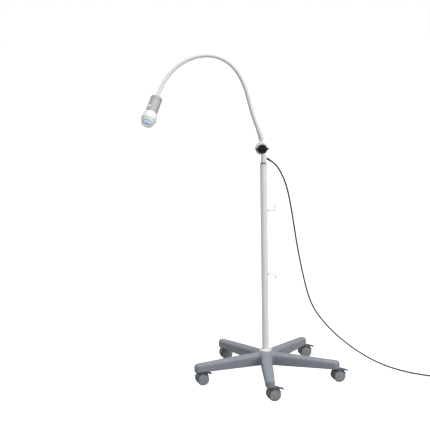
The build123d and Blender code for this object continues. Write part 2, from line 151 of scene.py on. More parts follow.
class Mat:
    """One procedural material: a Principled surface with its own small node tree."""

    def __init__(self, name):
        self.m = bpy.data.materials.new(name)
        self.m.use_nodes = True
        self.nt = self.m.node_tree
        self.nt.nodes.clear()
        self.out = self.add("ShaderNodeOutputMaterial")
        self.b = self.add("ShaderNodeBsdfPrincipled")
        self.link(self.b.outputs[0], self.out.inputs["Surface"])
        self.tc = self.add("ShaderNodeTexCoord")

    def add(self, kind, **kw):
        n = self.nt.nodes.new(kind)
        for k, v in kw.items():
            setattr(n, k, v)
        return n

    def link(self, a, b):
        self.nt.links.new(a, b)

    def noise(self, scale, detail=4.0, rough=0.55, coords="Object", stretch=None, distortion=0.0):
        n = self.add("ShaderNodeTexNoise")
        n.inputs["Scale"].default_value = scale
        n.inputs["Detail"].default_value = detail
        n.inputs["Roughness"].default_value = rough
        n.inputs["Distortion"].default_value = distortion
        src = self.tc.outputs[coords]
        if stretch:
            mp = self.add("ShaderNodeMapping")
            mp.inputs["Scale"].default_value = stretch
            self.link(src, mp.inputs["Vector"])
            src = mp.outputs["Vector"]
        self.link(src, n.inputs["Vector"])
        return n.outputs["Fac"]

    def voronoi(self, scale, coords="Object", feature="F1"):
        n = self.add("ShaderNodeTexVoronoi", feature=feature)
        n.inputs["Scale"].default_value = scale
        self.link(self.tc.outputs[coords], n.inputs["Vector"])
        return n.outputs["Distance"]

    def rng(self, src, f0, f1, t0, t1, smooth=False):
        n = self.add("ShaderNodeMapRange")
        if smooth:
            n.interpolation_type = "SMOOTHSTEP"
        n.inputs["From Min"].default_value, n.inputs["From Max"].default_value = f0, f1
        n.inputs["To Min"].default_value, n.inputs["To Max"].default_value = t0, t1
        self.link(src, n.inputs["Value"])
        return n.outputs["Result"]

    def math(self, op, a, b):
        n = self.add("ShaderNodeMath", operation=op)
        for i, v in enumerate((a, b)):
            if isinstance(v, (int, float)):
                n.inputs[i].default_value = v
            else:
                self.link(v, n.inputs[i])
        return n.outputs[0]

    def mix(self, fac, a, b):
        n = self.add("ShaderNodeMix", data_type="RGBA")
        self.link(fac, n.inputs["Factor"])
        for name, v in (("A", a), ("B", b)):
            s = [i for i in n.inputs if i.name == name and i.type == "RGBA"][0]
            if isinstance(v, tuple):
                s.default_value = (*v[:3], 1.0)
            else:
                self.link(v, s)
        return [o for o in n.outputs if o.type == "RGBA"][0]

    def bump(self, height, strength, distance, chain=None):
        n = self.add("ShaderNodeBump")
        n.inputs["Strength"].default_value = strength
        n.inputs["Distance"].default_value = distance
        self.link(height, n.inputs["Height"])
        if chain is not None:
            self.link(chain, n.inputs["Normal"])
        return n.outputs["Normal"]

    def uv(self, part):
        n = self.add("ShaderNodeSeparateXYZ")
        self.link(self.tc.outputs["UV"], n.inputs[0])
        return n.outputs["XYZ".index(part)]

    def top(self):
        g = self.add("ShaderNodeNewGeometry")
        n = self.add("ShaderNodeSeparateXYZ")
        self.link(g.outputs["Normal"], n.inputs[0])
        return n.outputs[2]

    def edges(self, lo=0.515, hi=0.56):
        g = self.add("ShaderNodeNewGeometry")
        return self.rng(g.outputs["Pointiness"], lo, hi, 0.0, 1.0)


def moulded(name, rgb, rough=0.5, mottle=0.07, mottle_scale=38.0, grain=1900.0, bump=0.22, dist=0.00014, dust=0.0,
            scratch=0.0, edge=0.0, coat=0.0, spec=0.5, ior=1.47, sss=0.0):
    m = Mat(name)
    c = lin(rgb)
    big = m.rng(m.noise(mottle_scale, 5.0, 0.6), 0.3, 0.7, 0.0, 1.0)
    col = m.mix(big, mul(c, 1 - mottle), mul(c, 1 + mottle))
    small = m.noise(grain * 0.35, 3.0, 0.6)
    col = m.mix(m.rng(small, 0.35, 0.75, 0.0, 0.22), col, mul(c, 0.80))
    rgh = m.rng(m.noise(mottle_scale * 3.1, 4.0, 0.6), 0.3, 0.7, rough - 0.06, rough + 0.08)
    if dust:
        d = m.math("MULTIPLY", m.rng(m.top(), 0.55, 1.0, 0.0, 1.0), m.rng(m.noise(26.0, 6.0, 0.7), 0.35, 0.7, 0.0, dust))
        col = m.mix(d, col, mul(c, 1.55))
    if edge:
        col = m.mix(m.math("MULTIPLY", m.edges(), edge), col, mul(c, 1.5))
    if scratch:
        s = m.noise(90.0, 2.0, 0.4, stretch=(1.0, 9.0, 3.0), distortion=0.4)
        s = m.rng(s, 0.655, 0.70, 0.0, scratch)
        col = m.mix(s, col, mul(c, 1.4))
        rgh = m.math("ADD", rgh, m.math("MULTIPLY", s, 0.25))
    m.link(col, m.b.inputs["Base Color"])
    m.link(rgh, m.b.inputs["Roughness"])
    h1 = m.bump(m.noise(grain, 3.0, 0.6), bump, dist)
    h2 = m.bump(m.voronoi(grain * 0.45), bump * 0.5, dist, h1)
    m.link(h2, m.b.inputs["Normal"])
    m.b.inputs["IOR"].default_value = ior
    m.b.inputs["Specular IOR Level"].default_value = spec
    if coat:
        m.b.inputs["Coat Weight"].default_value = coat
        m.b.inputs["Coat Roughness"].default_value = 0.12
    if sss:
        m.b.inputs["Subsurface Weight"].default_value = sss
        m.b.inputs["Subsurface Radius"].default_value = (1.0, 0.95, 0.9)
        m.b.inputs["Subsurface Scale"].default_value = 0.002
    return m


def metal(name, rgb, rough=0.3, lines=(1.0, 1.0, 0.06), line_scale=900.0, bump=0.12, spots=0.12, anis=0.3):
    m = Mat(name)
    c = lin(rgb)
    streak = m.noise(line_scale, 3.0, 0.6, stretch=lines)
    blot = m.noise(70.0, 5.0, 0.65)
    col = m.mix(m.rng(blot, 0.35, 0.7, 0.0, 1.0), mul(c, 1 - spots), mul(c, 1 + spots * 0.4))
    m.link(col, m.b.inputs["Base Color"])
    m.link(m.math("ADD", m.rng(streak, 0.3, 0.7, rough - 0.08, rough + 0.08), m.rng(blot, 0.3, 0.7, -0.04, 0.06)), m.b.inputs["Roughness"])
    m.link(m.bump(streak, bump, 0.00008), m.b.inputs["Normal"])
    m.b.inputs["Metallic"].default_value = 1.0
    m.b.inputs["Anisotropic"].default_value = anis
    return m


def powder(name, rgb, rough=0.32, peel=520.0, bump=0.16, mottle=0.025, coat=0.25, metallic=0.0):
    # powder coat or satin paint: orange peel, faint patches of gloss, tiny specks
    m = Mat(name)
    c = lin(rgb)
    big = m.rng(m.noise(17.0, 5.0, 0.6), 0.3, 0.7, 0.0, 1.0)
    col = m.mix(big, mul(c, 1 - mottle), mul(c, 1 + mottle * 0.5))
    speck = m.rng(m.noise(1400.0, 2.0, 0.5), 0.70, 0.76, 0.0, 0.25)
    col = m.mix(speck, col, mul(c, 0.72))
    col = m.mix(m.math("MULTIPLY", m.edges(0.52, 0.60), 0.25), col, mul(c, 0.86))
    m.link(col, m.b.inputs["Base Color"])
    m.link(m.rng(m.noise(46.0, 4.0, 0.6), 0.3, 0.7, rough - 0.05, rough + 0.09), m.b.inputs["Roughness"])
    h = m.bump(m.noise(peel, 2.0, 0.5), bump, 0.00016)
    m.link(m.bump(m.noise(peel * 5, 2.0, 0.5), bump * 0.4, 0.00004, h), m.b.inputs["Normal"])
    m.b.inputs["Coat Weight"].default_value = coat
    m.b.inputs["Coat Roughness"].default_value = 0.15
    m.b.inputs["Metallic"].default_value = metallic
    return m


MATS = {}
MATS["base_grey"] = moulded("base_grey", (131, 137, 145), rough=0.47, mottle=0.06, dust=0.30, scratch=0.30, edge=0.18, bump=0.30, dist=0.00018)
MATS["caster_grey"] = moulded("caster_grey", (82, 86, 91), rough=0.42, mottle=0.07, dust=0.2, scratch=0.35, edge=0.20)
MATS["steel"] = metal("steel", (176, 178, 181), rough=0.33)
MATS["pole_white"] = powder("pole_white", (231, 231, 231), rough=0.34)
MATS["trim_white"] = moulded("trim_white", (216, 217, 219), rough=0.36, mottle=0.03, bump=0.12, grain=2400.0)
MATS["ring_dark"] = moulded("ring_dark", (146, 147, 149), rough=0.55, mottle=0.10, grain=2600.0, bump=0.25)
MATS["gasket"] = moulded("gasket_black", (34, 36, 38), rough=0.5, mottle=0.15, grain=2600.0, bump=0.25)
MATS["joint_grey"] = powder("joint_grey", (232, 233, 233), rough=0.36, peel=700.0)
MATS["arm_white"] = powder("arm_white", (226, 226, 227), rough=0.30, peel=700.0, coat=0.35)
MATS["knob_black"] = moulded("knob_black", (13, 13, 14), rough=0.52, mottle=0.25, grain=1700.0, bump=0.2, edge=0.12, scratch=0.08, spec=0.35)
MATS["sink_metal"] = metal("sink_metal", (190, 192, 196), rough=0.36, lines=(1, 1, 1))
MATS["plug_black"] = moulded("plug_black", (27, 27, 29), rough=0.46, mottle=0.2, grain=1500.0, bump=0.35, edge=0.15)


def wheel_face():
    # moulded wheel cover: fine turned rings round the axle (v runs along the section)
    m = moulded("wheel_grey", (138, 142, 145), rough=0.42, mottle=0.08, scratch=0.45, edge=0.25)
    w = m.add("ShaderNodeTexWave", wave_type="BANDS", bands_direction="Y")
    w.inputs["Scale"].default_value = 14.0
    w.inputs["Distortion"].default_value = 0.3
    m.link(m.tc.outputs["UV"], w.inputs["Vector"])
    old = m.b.inputs["Normal"].links[0].from_socket
    m.link(m.bump(w.outputs["Fac"], 0.10, 0.00012, old), m.b.inputs["Normal"])
    return m


def tyre():
    # grey soft tread, darker than the wheel cover: partly its own colour, partly painted shade for the gap between
    # wheel and housing; fine cross scuffs and lint, dull
    m = Mat("tyre_grey")
    # the darker grey is partly painted shade for the gap round the wheel
    c = lin((98, 101, 104))
    d = m.noise(160.0, 6.0, 0.7)
    col = m.mix(m.rng(d, 0.35, 0.7, 0.0, 1.0), mul(c, 0.72), mul(c, 1.15))
    lint = m.rng(m.noise(700.0, 2.0, 0.4, stretch=(1, 1, 5)), 0.68, 0.74, 0.0, 0.5)
    m.link(m.mix(lint, col, lin((168, 166, 160))), m.b.inputs["Base Color"])
    m.link(m.rng(d, 0.3, 0.7, 0.58, 0.78), m.b.inputs["Roughness"])
    m.link(m.bump(m.noise(1300.0, 3.0, 0.6), 0.4, 0.00018), m.b.inputs["Normal"])
    return m


MATS["wheel_grey"] = wheel_face()
MATS["tyre"] = tyre()


def sleeve():
    # satin white silicone sleeve over the coiled neck: soft patches of gloss, a few specks of lint
    m = Mat("sleeve_white")
    c = lin((207, 207, 209))
    big = m.rng(m.noise(21.0, 5.0, 0.6), 0.3, 0.7, 0.0, 1.0)
    col = m.mix(big, mul(c, 0.965), mul(c, 1.01))
    speck = m.rng(m.noise(900.0, 2.0, 0.5), 0.73, 0.79, 0.0, 0.18)
    col = m.mix(speck, col, mul(c, 0.80))
    m.link(col, m.b.inputs["Base Color"])
    m.link(m.rng(m.noise(60.0, 4.0, 0.6), 0.3, 0.7, 0.44, 0.56), m.b.inputs["Roughness"])
    h = m.bump(m.noise(260.0, 3.0, 0.5), 0.05, 0.0001)
    m.link(m.bump(m.noise(2100.0, 3.0, 0.6), 0.07, 0.00005, h), m.b.inputs["Normal"])
    m.b.inputs["Subsurface Weight"].default_value = 0.08
    m.b.inputs["Subsurface Radius"].default_value = (1.0, 0.96, 0.92)
    m.b.inputs["Subsurface Scale"].default_value = 0.0015
    return m


MATS["sleeve_white"] = sleeve()


def head_paint():
    m = powder("head_grey", (167, 167, 168), rough=0.50, peel=900.0, bump=0.08, mottle=0.03, coat=0.0, metallic=0.12)
    return m


MATS["head_grey"] = head_paint()


def bezel():
    m = moulded("bezel_white", (220, 223, 222), rough=0.42, mottle=0.02, mottle_scale=30.0, grain=3000.0, bump=0.04, coat=0.08, sss=0.2)
    return m


MATS["bezel_white"] = bezel()
MATS["button_grey"] = moulded("button_grey", (218, 219, 220), rough=0.5, mottle=0.04, grain=2500.0, bump=0.12, edge=0.05)


def glass():
    # thin clear moulded plastic: nearly clear face on, milky towards its edges, faint ripples and smears
    m = Mat("lens_clear")
    c = lin((226, 230, 233))
    n = m.rng(m.noise(40.0, 3.0, 0.5), 0.3, 0.7, 0.0, 1.0)
    m.link(m.mix(n, mul(c, 0.96), mul(c, 1.04)), m.b.inputs["Base Color"])
    m.link(m.rng(m.noise(120.0, 3.0, 0.6), 0.35, 0.7, 0.05, 0.14), m.b.inputs["Roughness"])
    m.link(m.bump(m.noise(55.0, 2.0, 0.5), 0.04, 0.0002), m.b.inputs["Normal"])
    lw = m.add("ShaderNodeLayerWeight")
    lw.inputs["Blend"].default_value = 0.35
    a = m.rng(lw.outputs["Facing"], 0.0, 0.85, 0.16, 0.62)
    m.link(m.math("ADD", a, m.rng(m.noise(90.0, 4.0, 0.6), 0.3, 0.7, -0.03, 0.03)), m.b.inputs["Alpha"])
    m.b.inputs["IOR"].default_value = 1.46
    return m


MATS["lens_clear"] = glass()


def mirror():
    # metallised cup with a painted blue-white glow, strongest at its bottom: emission standing in for the lamp's light
    # on it (v runs from the bottom to the rim)
    m = Mat("mirror_cup")
    c = lin((214, 222, 230))
    f = m.noise(220.0, 4.0, 0.6)
    m.link(m.mix(m.rng(f, 0.35, 0.7, 0.0, 1.0), mul(c, 0.9), mul(c, 1.05)), m.b.inputs["Base Color"])
    m.link(m.rng(f, 0.3, 0.7, 0.08, 0.18), m.b.inputs["Roughness"])
    m.link(m.bump(m.noise(500.0, 3.0, 0.6), 0.10, 0.0001), m.b.inputs["Normal"])
    m.b.inputs["Metallic"].default_value = 1.0
    # painted glow: emission fading from the cup's bottom to its rim, in place of the lamp's light
    g = m.rng(m.uv("Y"), 0.04, 0.27, 1.0, 0.0, smooth=True)
    m.link(m.mix(g, lin((176, 206, 236)), lin((216, 240, 255))), m.b.inputs["Emission Color"])
    m.link(m.rng(g, 0.0, 1.0, 0.48, 1.9), m.b.inputs["Emission Strength"])
    return m


MATS["mirror_cup"] = mirror()


def skirt_mat():
    # frosted ring behind the front glass with a painted greenish white glow: emission standing in for the lamp's light
    # on it (v runs back from the rim)
    m = Mat("skirt_glow")
    c = lin((206, 226, 218))
    f = m.noise(150.0, 4.0, 0.6)
    m.link(m.mix(m.rng(f, 0.35, 0.7, 0.0, 1.0), mul(c, 0.93), mul(c, 1.05)), m.b.inputs["Base Color"])
    m.link(m.rng(f, 0.3, 0.7, 0.38, 0.5), m.b.inputs["Roughness"])
    m.link(m.bump(m.noise(900.0, 3.0, 0.6), 0.15, 0.0001), m.b.inputs["Normal"])
    # painted glow: greenish white emission on a part that is no lamp
    m.link(m.mix(m.rng(f, 0.3, 0.7, 0.0, 1.0), lin((208, 238, 228)), lin((226, 244, 239))), m.b.inputs["Emission Color"])
    m.link(m.rng(f, 0.3, 0.7, 0.42, 0.54), m.b.inputs["Emission Strength"])
    return m


MATS["skirt_glow"] = skirt_mat()


def board():
    m = Mat("circuit_board")
    c = lin((26, 92, 58))
    tr = m.add("ShaderNodeTexBrick")
    tr.inputs["Scale"].default_value = 160.0
    tr.inputs["Mortar Size"].default_value = 0.06
    m.link(m.tc.outputs["Object"], tr.inputs["Vector"])
    m.link(m.mix(tr.outputs["Fac"], mul(c, 0.9), mul(c, 1.5)), m.b.inputs["Base Color"])
    m.link(m.rng(m.noise(300.0, 3.0, 0.6), 0.3, 0.7, 0.25, 0.4), m.b.inputs["Roughness"])
    m.link(m.bump(tr.outputs["Fac"], 0.2, 0.0001), m.b.inputs["Normal"])
    return m


MATS["circuit_board"] = board()


def led():
    m = Mat("led_lamp")
    n = m.noise(900.0, 2.0, 0.5)
    m.link(m.mix(m.rng(n, 0.3, 0.7, 0.0, 1.0), lin((196, 226, 255)), lin((232, 246, 255))), m.b.inputs["Emission Color"])
    m.b.inputs["Emission Strength"].default_value = 9.0
    m.link(m.mix(n, lin((230, 230, 200)), lin((250, 248, 220))), m.b.inputs["Base Color"])
    m.link(m.rng(n, 0.3, 0.7, 0.3, 0.5), m.b.inputs["Roughness"])
    return m


MATS["led_lamp"] = led()


def cord_mat():
    # black PVC sheath: faint lay of the cores showing through, fine scuffs
    m = Mat("cord_black")
    c = lin((30, 30, 31))
    n = m.noise(85.0, 6.0, 0.7)
    col = m.mix(m.rng(n, 0.35, 0.7, 0.0, 1.0), mul(c, 0.75), mul(c, 1.3))
    col = m.mix(m.rng(m.noise(1200.0, 2.0, 0.5), 0.68, 0.75, 0.0, 0.35), col, lin((92, 92, 92)))
    m.link(col, m.b.inputs["Base Color"])
    m.link(m.rng(n, 0.3, 0.7, 0.40, 0.56), m.b.inputs["Roughness"])
    w = m.add("ShaderNodeTexWave", wave_type="BANDS", bands_direction="DIAGONAL")
    w.inputs["Scale"].default_value = 34.0
    w.inputs["Distortion"].default_value = 1.4
    m.link(m.tc.outputs["Object"], w.inputs["Vector"])
    h = m.bump(w.outputs["Fac"], 0.08, 0.0003)
    m.link(m.bump(m.noise(2400.0, 3.0, 0.6), 0.2, 0.0001, h), m.b.inputs["Normal"])
    return m


MATS["cord_black"] = cord_mat()
cord.data.materials.append(MATS["cord_black"].m)


# ==== mesh helpers =============================================================================
def obj_from(name, verts, faces, mats, body, uvs=None, mat_ids=None, sharp=38.0, recalc=True, slot=None, replaces=(), scale=MM):
    me = bpy.data.meshes.new(name)
    me.from_pydata([tuple(c * scale for c in v) for v in verts], [], faces)
    for mt in mats:
        me.materials.append(MATS[mt].m)
    if mat_ids:
        me.polygons.foreach_set("material_index", mat_ids)
    if uvs:
        layer = me.uv_layers.new(name="UVMap")
        for poly, row in zip(me.polygons, uvs):
            for li, q in zip(poly.loop_indices, row):
                layer.data[li].uv = q
    if recalc:
        bm = bmesh.new()
        bm.from_mesh(me)
        bmesh.ops.recalc_face_normals(bm, faces=bm.faces)
        bm.to_mesh(me)
        bm.free()
    me.polygons.foreach_set("use_smooth", [True] * len(me.polygons))
    if sharp is not None:
        me.set_sharp_from_angle(angle=math.radians(sharp))
    me.update()
    o = bpy.data.objects.new(name, me)
    bpy.context.scene.collection.objects.link(o)
    finish_piece(o, body, replaces)
    return o


def finish_piece(o, body, replaces=()):
    if body:
        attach(o, body)
    if replaces:
        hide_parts(*replaces)


def round_profile(pts, rad, n=4, closed=False):
    # rounds the corners of a section; rad is one radius or one per point
    out = []
    k = len(pts)
    rads = rad if isinstance(rad, (list, tuple)) else [rad] * k
    for i in range(k):
        p = Vector((pts[i][0], pts[i][1]))
        if not closed and i in (0, k - 1):
            out.append((p.x, p.y))
            continue
        a, b = Vector(pts[i - 1][:2]), Vector(pts[(i + 1) % k][:2])
        u, w = a - p, b - p
        lu, lw = u.length, w.length
        if rads[i] <= 0 or lu < 1e-9 or lw < 1e-9:
            out.append((p.x, p.y))
            continue
        u, w = u / lu, w / lw
        ang = math.acos(max(-1, min(1, u.dot(w))))
        if ang > math.radians(172) or ang < math.radians(4):
            out.append((p.x, p.y))
            continue
        t = min(rads[i] / math.tan(ang / 2), 0.48 * lu, 0.48 * lw)
        p0, p1 = p + u * t, p + w * t
        for j in range(n + 1):
            s = j / n
            q = p0 * (1 - s) ** 2 + p * 2 * s * (1 - s) + p1 * s * s
            out.append((q.x, q.y))
    return out


def lathe(name, prof, place, body, mats, seg=72, mat_of=None, sharp=38.0, closed=False, **kw):
    """Turned piece. prof is (radius, height) in mm about the local Z of place; mat_of gives a material index for a height and radius."""
    verts, rows, dist = [], [], [0.0]
    for (r0, z0), (r1, z1) in zip(prof, prof[1:]):
        dist.append(dist[-1] + math.hypot(r1 - r0, z1 - z0))
    if closed:
        dist.append(dist[-1] + math.hypot(prof[0][0] - prof[-1][0], prof[0][1] - prof[-1][1]))
    for r, z in prof:
        if r < 1e-6:
            verts.append(place @ Vector((0, 0, z)))
            rows.append([len(verts) - 1] * seg)
        else:
            s = len(verts)
            for i in range(seg):
                a = 2 * math.pi * i / seg
                verts.append(place @ Vector((r * math.cos(a), r * math.sin(a), z)))
            rows.append(list(range(s, s + seg)))
    faces, uvs, ids = [], [], []
    n = len(prof)
    for j in range(n if closed else n - 1):
        a, b = rows[j], rows[(j + 1) % n]
        mid = ((prof[j][0] + prof[(j + 1) % n][0]) / 2, (prof[j][1] + prof[(j + 1) % n][1]) / 2)
        mi = mat_of(*mid) if mat_of else 0
        v0, v1 = dist[j] / 100, dist[j + 1] / 100
        for i in range(seg):
            k = (i + 1) % seg
            u0, u1 = i / seg, (i + 1) / seg
            if a[i] == a[k] and b[i] == b[k]:
                continue
            if a[i] == a[k]:
                faces.append((a[i], b[k], b[i]))
                uvs.append(((u0, v0), (u1, v1), (u0, v1)))
            elif b[i] == b[k]:
                faces.append((a[i], a[k], b[i]))
                uvs.append(((u0, v0), (u1, v0), (u0, v1)))
            else:
                faces.append((a[i], a[k], b[k], b[i]))
                uvs.append(((u0, v0), (u1, v0), (u1, v1), (u0, v1)))
            ids.append(mi)
    return obj_from(name, verts, faces, mats, body, uvs, ids, sharp=sharp, **kw)


def frames_along(pts):
    # rotation-minimising frames along a list of points
    t = []
    for i in range(len(pts)):
        a, b = pts[max(0, i - 1)], pts[min(len(pts) - 1, i + 1)]
        t.append((b - a).normalized())
    n = t[0].orthogonal().normalized()
    if abs(t[0].dot(Vector((0, 1, 0)))) < 0.9:
        n = (Vector((0, 1, 0)) - t[0] * t[0].dot(Vector((0, 1, 0)))).normalized()
    out = []
    for k in t:
        n = (n - k * n.dot(k)).normalized()
        out.append((n, k.cross(n).normalized()))
    return out


def tube(name, pts, radii, body, mats, seg=36, caps=(True, True), s0=0.0, **kw):
    """Round tube along pts (mm) with one radius per point; v is the length in units of 0.1 m, from s0."""
    fr = frames_along(pts)
    verts, faces, uvs = [], [], []
    d = [s0]
    for a, b in zip(pts, pts[1:]):
        d.append(d[-1] + (b - a).length)
    for p, r, (n, b) in zip(pts, radii, fr):
        for i in range(seg):
            a = 2 * math.pi * i / seg
            verts.append(p + (n * math.cos(a) + b * math.sin(a)) * r)
    for j in range(len(pts) - 1):
        for i in range(seg):
            k = (i + 1) % seg
            faces.append((j * seg + i, j * seg + k, (j + 1) * seg + k, (j + 1) * seg + i))
            u0, u1 = i / seg, (i + 1) / seg
            uvs.append(((u0, d[j] / 100), (u1, d[j] / 100), (u1, d[j + 1] / 100), (u0, d[j + 1] / 100)))
    if caps[0]:
        faces.append(tuple(reversed(range(seg))))
        uvs.append(tuple((0.5, d[0] / 100) for _ in range(seg)))
    if caps[1]:
        faces.append(tuple((len(pts) - 1) * seg + i for i in range(seg)))
        uvs.append(tuple((0.5, d[-1] / 100) for _ in range(seg)))
    return obj_from(name, verts, faces, mats, body, uvs, **kw)


def place_at(origin, x, z):
    z = Vector(z).normalized()
    x = (Vector(x) - z * z.dot(Vector(x))).normalized()
    y = z.cross(x)
    m = Matrix((x, y, z)).transposed().to_4x4()
    m.translation = Vector(origin)
    return m


def bevel_node(node, width, seg=2, angle=32.0):
    o = NODES[node]
    b = o.modifiers.new("soft_edges", "BEVEL")
    b.width = width * MM
    b.segments = seg
    b.limit_method = "ANGLE"
    b.angle_limit = math.radians(angle)
    b.use_clamp_overlap = True
    b.harden_normals = True
    return o


def dress(node, mat):
    o = NODES[node]
    if not o.data.materials:
        o.data.materials.append(MATS[mat].m)
    for i in range(len(o.data.materials)):
        o.data.materials[i] = MATS[mat].m


# ==== finishes of the carried-over CAD pieces ===================================================
for s in frame["record"]["subparts"]:
    slot = s.get("material_slot")
    if slot in MATS and s["node"] in NODES:
        dress(s["node"], slot)
dress("power_button", "button_grey")

# ==== star base =================================================================================
def smooth_star():
    # the moulding as one skin: remeshed, its hub blended softly into the five arms, and every edge eased
    me = NODES["star_base"].data.copy()
    bm = bmesh.new()
    bm.from_mesh(me)
    bmesh.ops.remove_doubles(bm, verts=bm.verts, dist=2e-6)
    bm.to_mesh(me)
    bm.free()
    tmp = bpy.data.objects.new("star_tmp", me)
    scn = bpy.context.scene.collection
    scn.objects.link(tmp)
    r = tmp.modifiers.new("skin", "REMESH")
    r.mode = "VOXEL"
    r.voxel_size = 0.0016
    r.adaptivity = 0.0
    e = bpy.data.meshes.new_from_object(tmp.evaluated_get(bpy.context.evaluated_depsgraph_get()))
    n = len(e.vertices)
    co = np.zeros(n * 3)
    e.vertices.foreach_get("co", co)
    co = co.reshape(-1, 3)
    ed = np.zeros(len(e.edges) * 2, np.int64)
    e.edges.foreach_get("vertices", ed)
    ed = ed.reshape(-1, 2)
    a = np.concatenate([ed[:, 0], ed[:, 1]])
    b = np.concatenate([ed[:, 1], ed[:, 0]])
    deg = np.bincount(a, minlength=n).astype(float)

    def ramp(x, x0, x1):
        t = np.clip((x - x0) / (x1 - x0), 0, 1)
        return t * t * (3 - 2 * t)

    rad = np.hypot(co[:, 0], co[:, 1])
    hub = ramp(rad, 0.029, 0.036) * (1 - ramp(rad, 0.060, 0.100)) * ramp(co[:, 2], 0.056, 0.066)
    rest = co.copy()
    for it in range(60):
        w = 0.55 * hub
        if it < 4:
            w = np.maximum(w, 0.5)
        lap = np.stack([np.bincount(a, weights=co[b, k], minlength=n) / deg for k in range(3)], 1) - co
        co += lap * w[:, None]
    co[:, 2] = np.minimum(co[:, 2], rest[:, 2] + 0.004)
    e.vertices.foreach_set("co", co.ravel())
    e.update()
    tmp.modifiers.clear()
    tmp.data = e
    d = tmp.modifiers.new("thin", "DECIMATE")
    d.ratio = 0.22
    f = bpy.data.meshes.new_from_object(tmp.evaluated_get(bpy.context.evaluated_depsgraph_get()))
    bpy.data.objects.remove(tmp)
    o = bpy.data.objects.new("star_base_skin", f)
    scn.objects.link(o)
    f.materials.clear()
    f.materials.append(MATS["base_grey"].m)
    f.polygons.foreach_set("material_index", [0] * len(f.polygons))
    f.polygons.foreach_set("use_smooth", [True] * len(f.polygons))
    f.update()
    finish_piece(o, "base_and_pole", replaces=["star_base"])
    return o


smooth_star()

# ==== cord furniture ===========================================================================
LG = place_at(GLAND_AT, (0, 0, 1), GLAND)
prof = [(3.3, 17.2), (5.3, 17.2), (5.3, 19.6)]
z = 19.6
for k in range(6):
    r = 5.15 - k * 0.22
    prof += [(r - 0.75, z), (r - 0.75, z + 1.05), (r, z + 1.05), (r - 0.12, z + 2.75)]
    z += 2.75
prof += [(3.95, z), (3.85, 38.6), (3.45, 39.2), (3.3, 39.2)]
relief = lathe("cord_strain_relief", round_profile(prof, 0.28, 2), LG, "base_and_pole", ["gasket"], seg=48,
               slot="ring_dark", replaces=["strain_relief"])
gland_nut = lathe("gland_nut", round_profile([(5.5, 12.5), (7.9, 12.5), (7.9, 16.9), (7.2, 17.5), (5.2, 17.5)], 0.5, 3), LG, "base_and_pole", ["joint_grey"], seg=6 * 8, slot="joint_grey")


def super_loft(name, secs, place, body, mats, seg=64, power=4.0, **kw):
    """Loft of rounded-rectangle sections (height, half width, half depth, corner power) along local Z."""
    verts, faces = [], []
    for z_, a, b, p in secs:
        for i in range(seg):
            t = 2 * math.pi * i / seg
            c, s = math.cos(t), math.sin(t)
            x = a * math.copysign(abs(c) ** (2 / p), c)
            y = b * math.copysign(abs(s) ** (2 / p), s)
            verts.append(place @ Vector((x, y, z_)))
    for j in range(len(secs) - 1):
        for i in range(seg):
            k = (i + 1) % seg
            faces.append((j * seg + i, j * seg + k, (j + 1) * seg + k, (j + 1) * seg + i))
    faces.append(tuple(reversed(range(seg))))
    faces.append(tuple((len(secs) - 1) * seg + i for i in range(seg)))
    return obj_from(name, verts, faces, mats, body, **kw)


# plug: local Z runs from the cord's end towards the pins
PL = place_at((PLUG_X, -127.0, PLUG_Z), (1, 0, 0), (0, -1, 0))
secs = [(0.0, 4.1, 4.1, 2.0), (0.6, 4.4, 4.4, 2.0)]
for k in range(4):
    z0 = 1.8 + k * 3.0
    r = 4.6 + k * 0.32
    secs += [(z0, r, r, 2.0), (z0 + 0.25, r - 0.55, r - 0.55, 2.0), (z0 + 1.1, r - 0.55, r - 0.55, 2.0), (z0 + 1.35, r + 0.1, r + 0.1, 2.0)]
secs += [(14.0, 6.1, 6.0, 2.0), (15.4, 8.4, 6.2, 2.4), (17.5, 11.8, 6.45, 2.9), (21.0, 15.0, 6.65, 3.4), (25.0, 16.4, 6.75, 3.8)]
for k in range(5):
    z0 = 27.0 + k * 3.0
    secs += [(z0, 16.75, 6.78, 4.0), (z0 + 0.4, 16.25, 6.5, 4.0), (z0 + 1.4, 16.25, 6.5, 4.0), (z0 + 1.8, 16.8, 6.78, 4.0)]
secs += [(43.0, 16.9, 6.78, 4.2), (49.4, 16.9, 6.78, 4.2), (50.4, 16.5, 6.5, 4.2), (50.95, 15.6, 5.8, 4.2)]
plug = super_loft("plug_body", secs, PL, "base_and_pole", ["plug_black"], slot="plug_black", replaces=["mains_plug"])
for k, sx in enumerate((-9.3, 9.3)):
    P = PL @ Matrix.Translation(Vector((sx, 0, 50.7)))
    pr = round_profile([(0.0, 0), (1.95, 0), (1.95, 9.5), (2.0, 9.5), (2.0, 17.6), (1.1, 18.9), (0.0, 18.95)], 0.3, 3)
    lathe("plug_pin_%d" % (k + 1), pr, P, "base_and_pole", ["steel", "plug_black"], seg=28,
                      mat_of=lambda r, z_: 1 if z_ < 9.45 else 0, slot="plug_black")

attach(cord, "base_and_pole")
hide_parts("mains_cord", "cord_coil")

